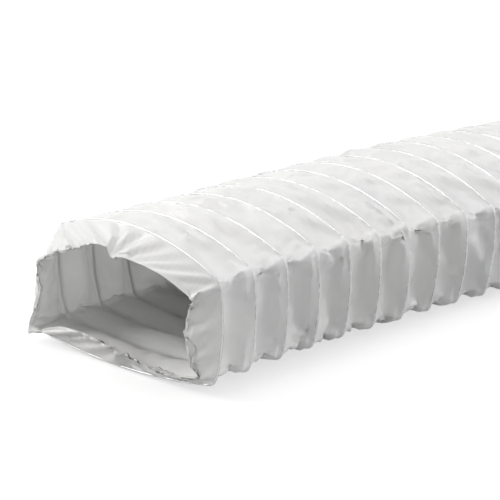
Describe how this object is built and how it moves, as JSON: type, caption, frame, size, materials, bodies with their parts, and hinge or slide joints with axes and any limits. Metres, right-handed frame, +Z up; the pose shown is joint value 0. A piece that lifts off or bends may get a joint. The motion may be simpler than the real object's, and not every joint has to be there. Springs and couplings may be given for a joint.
{
  "type": "rectangular flexible duct",
  "caption": "Flexible rectangular ventilation duct: white film sleeve on a helical spring wire, open at both ends and bent gently sideways.",
  "frame": {"origin": "centre of the front mouth's cut edge", "axes": "+Y runs into the duct from the front mouth, +X is to the right of someone looking in, +Z is up"},
  "size_m": [0.3415, 1.0163, 0.1212],
  "materials": {
    "white_film": "soft gloss",
    "spring_steel": "drawn"
  },
  "bodies": {
    "root": {"film_sleeve": "white_film", "wire_helix": "spring_steel"}
  },
  "joints": []
}
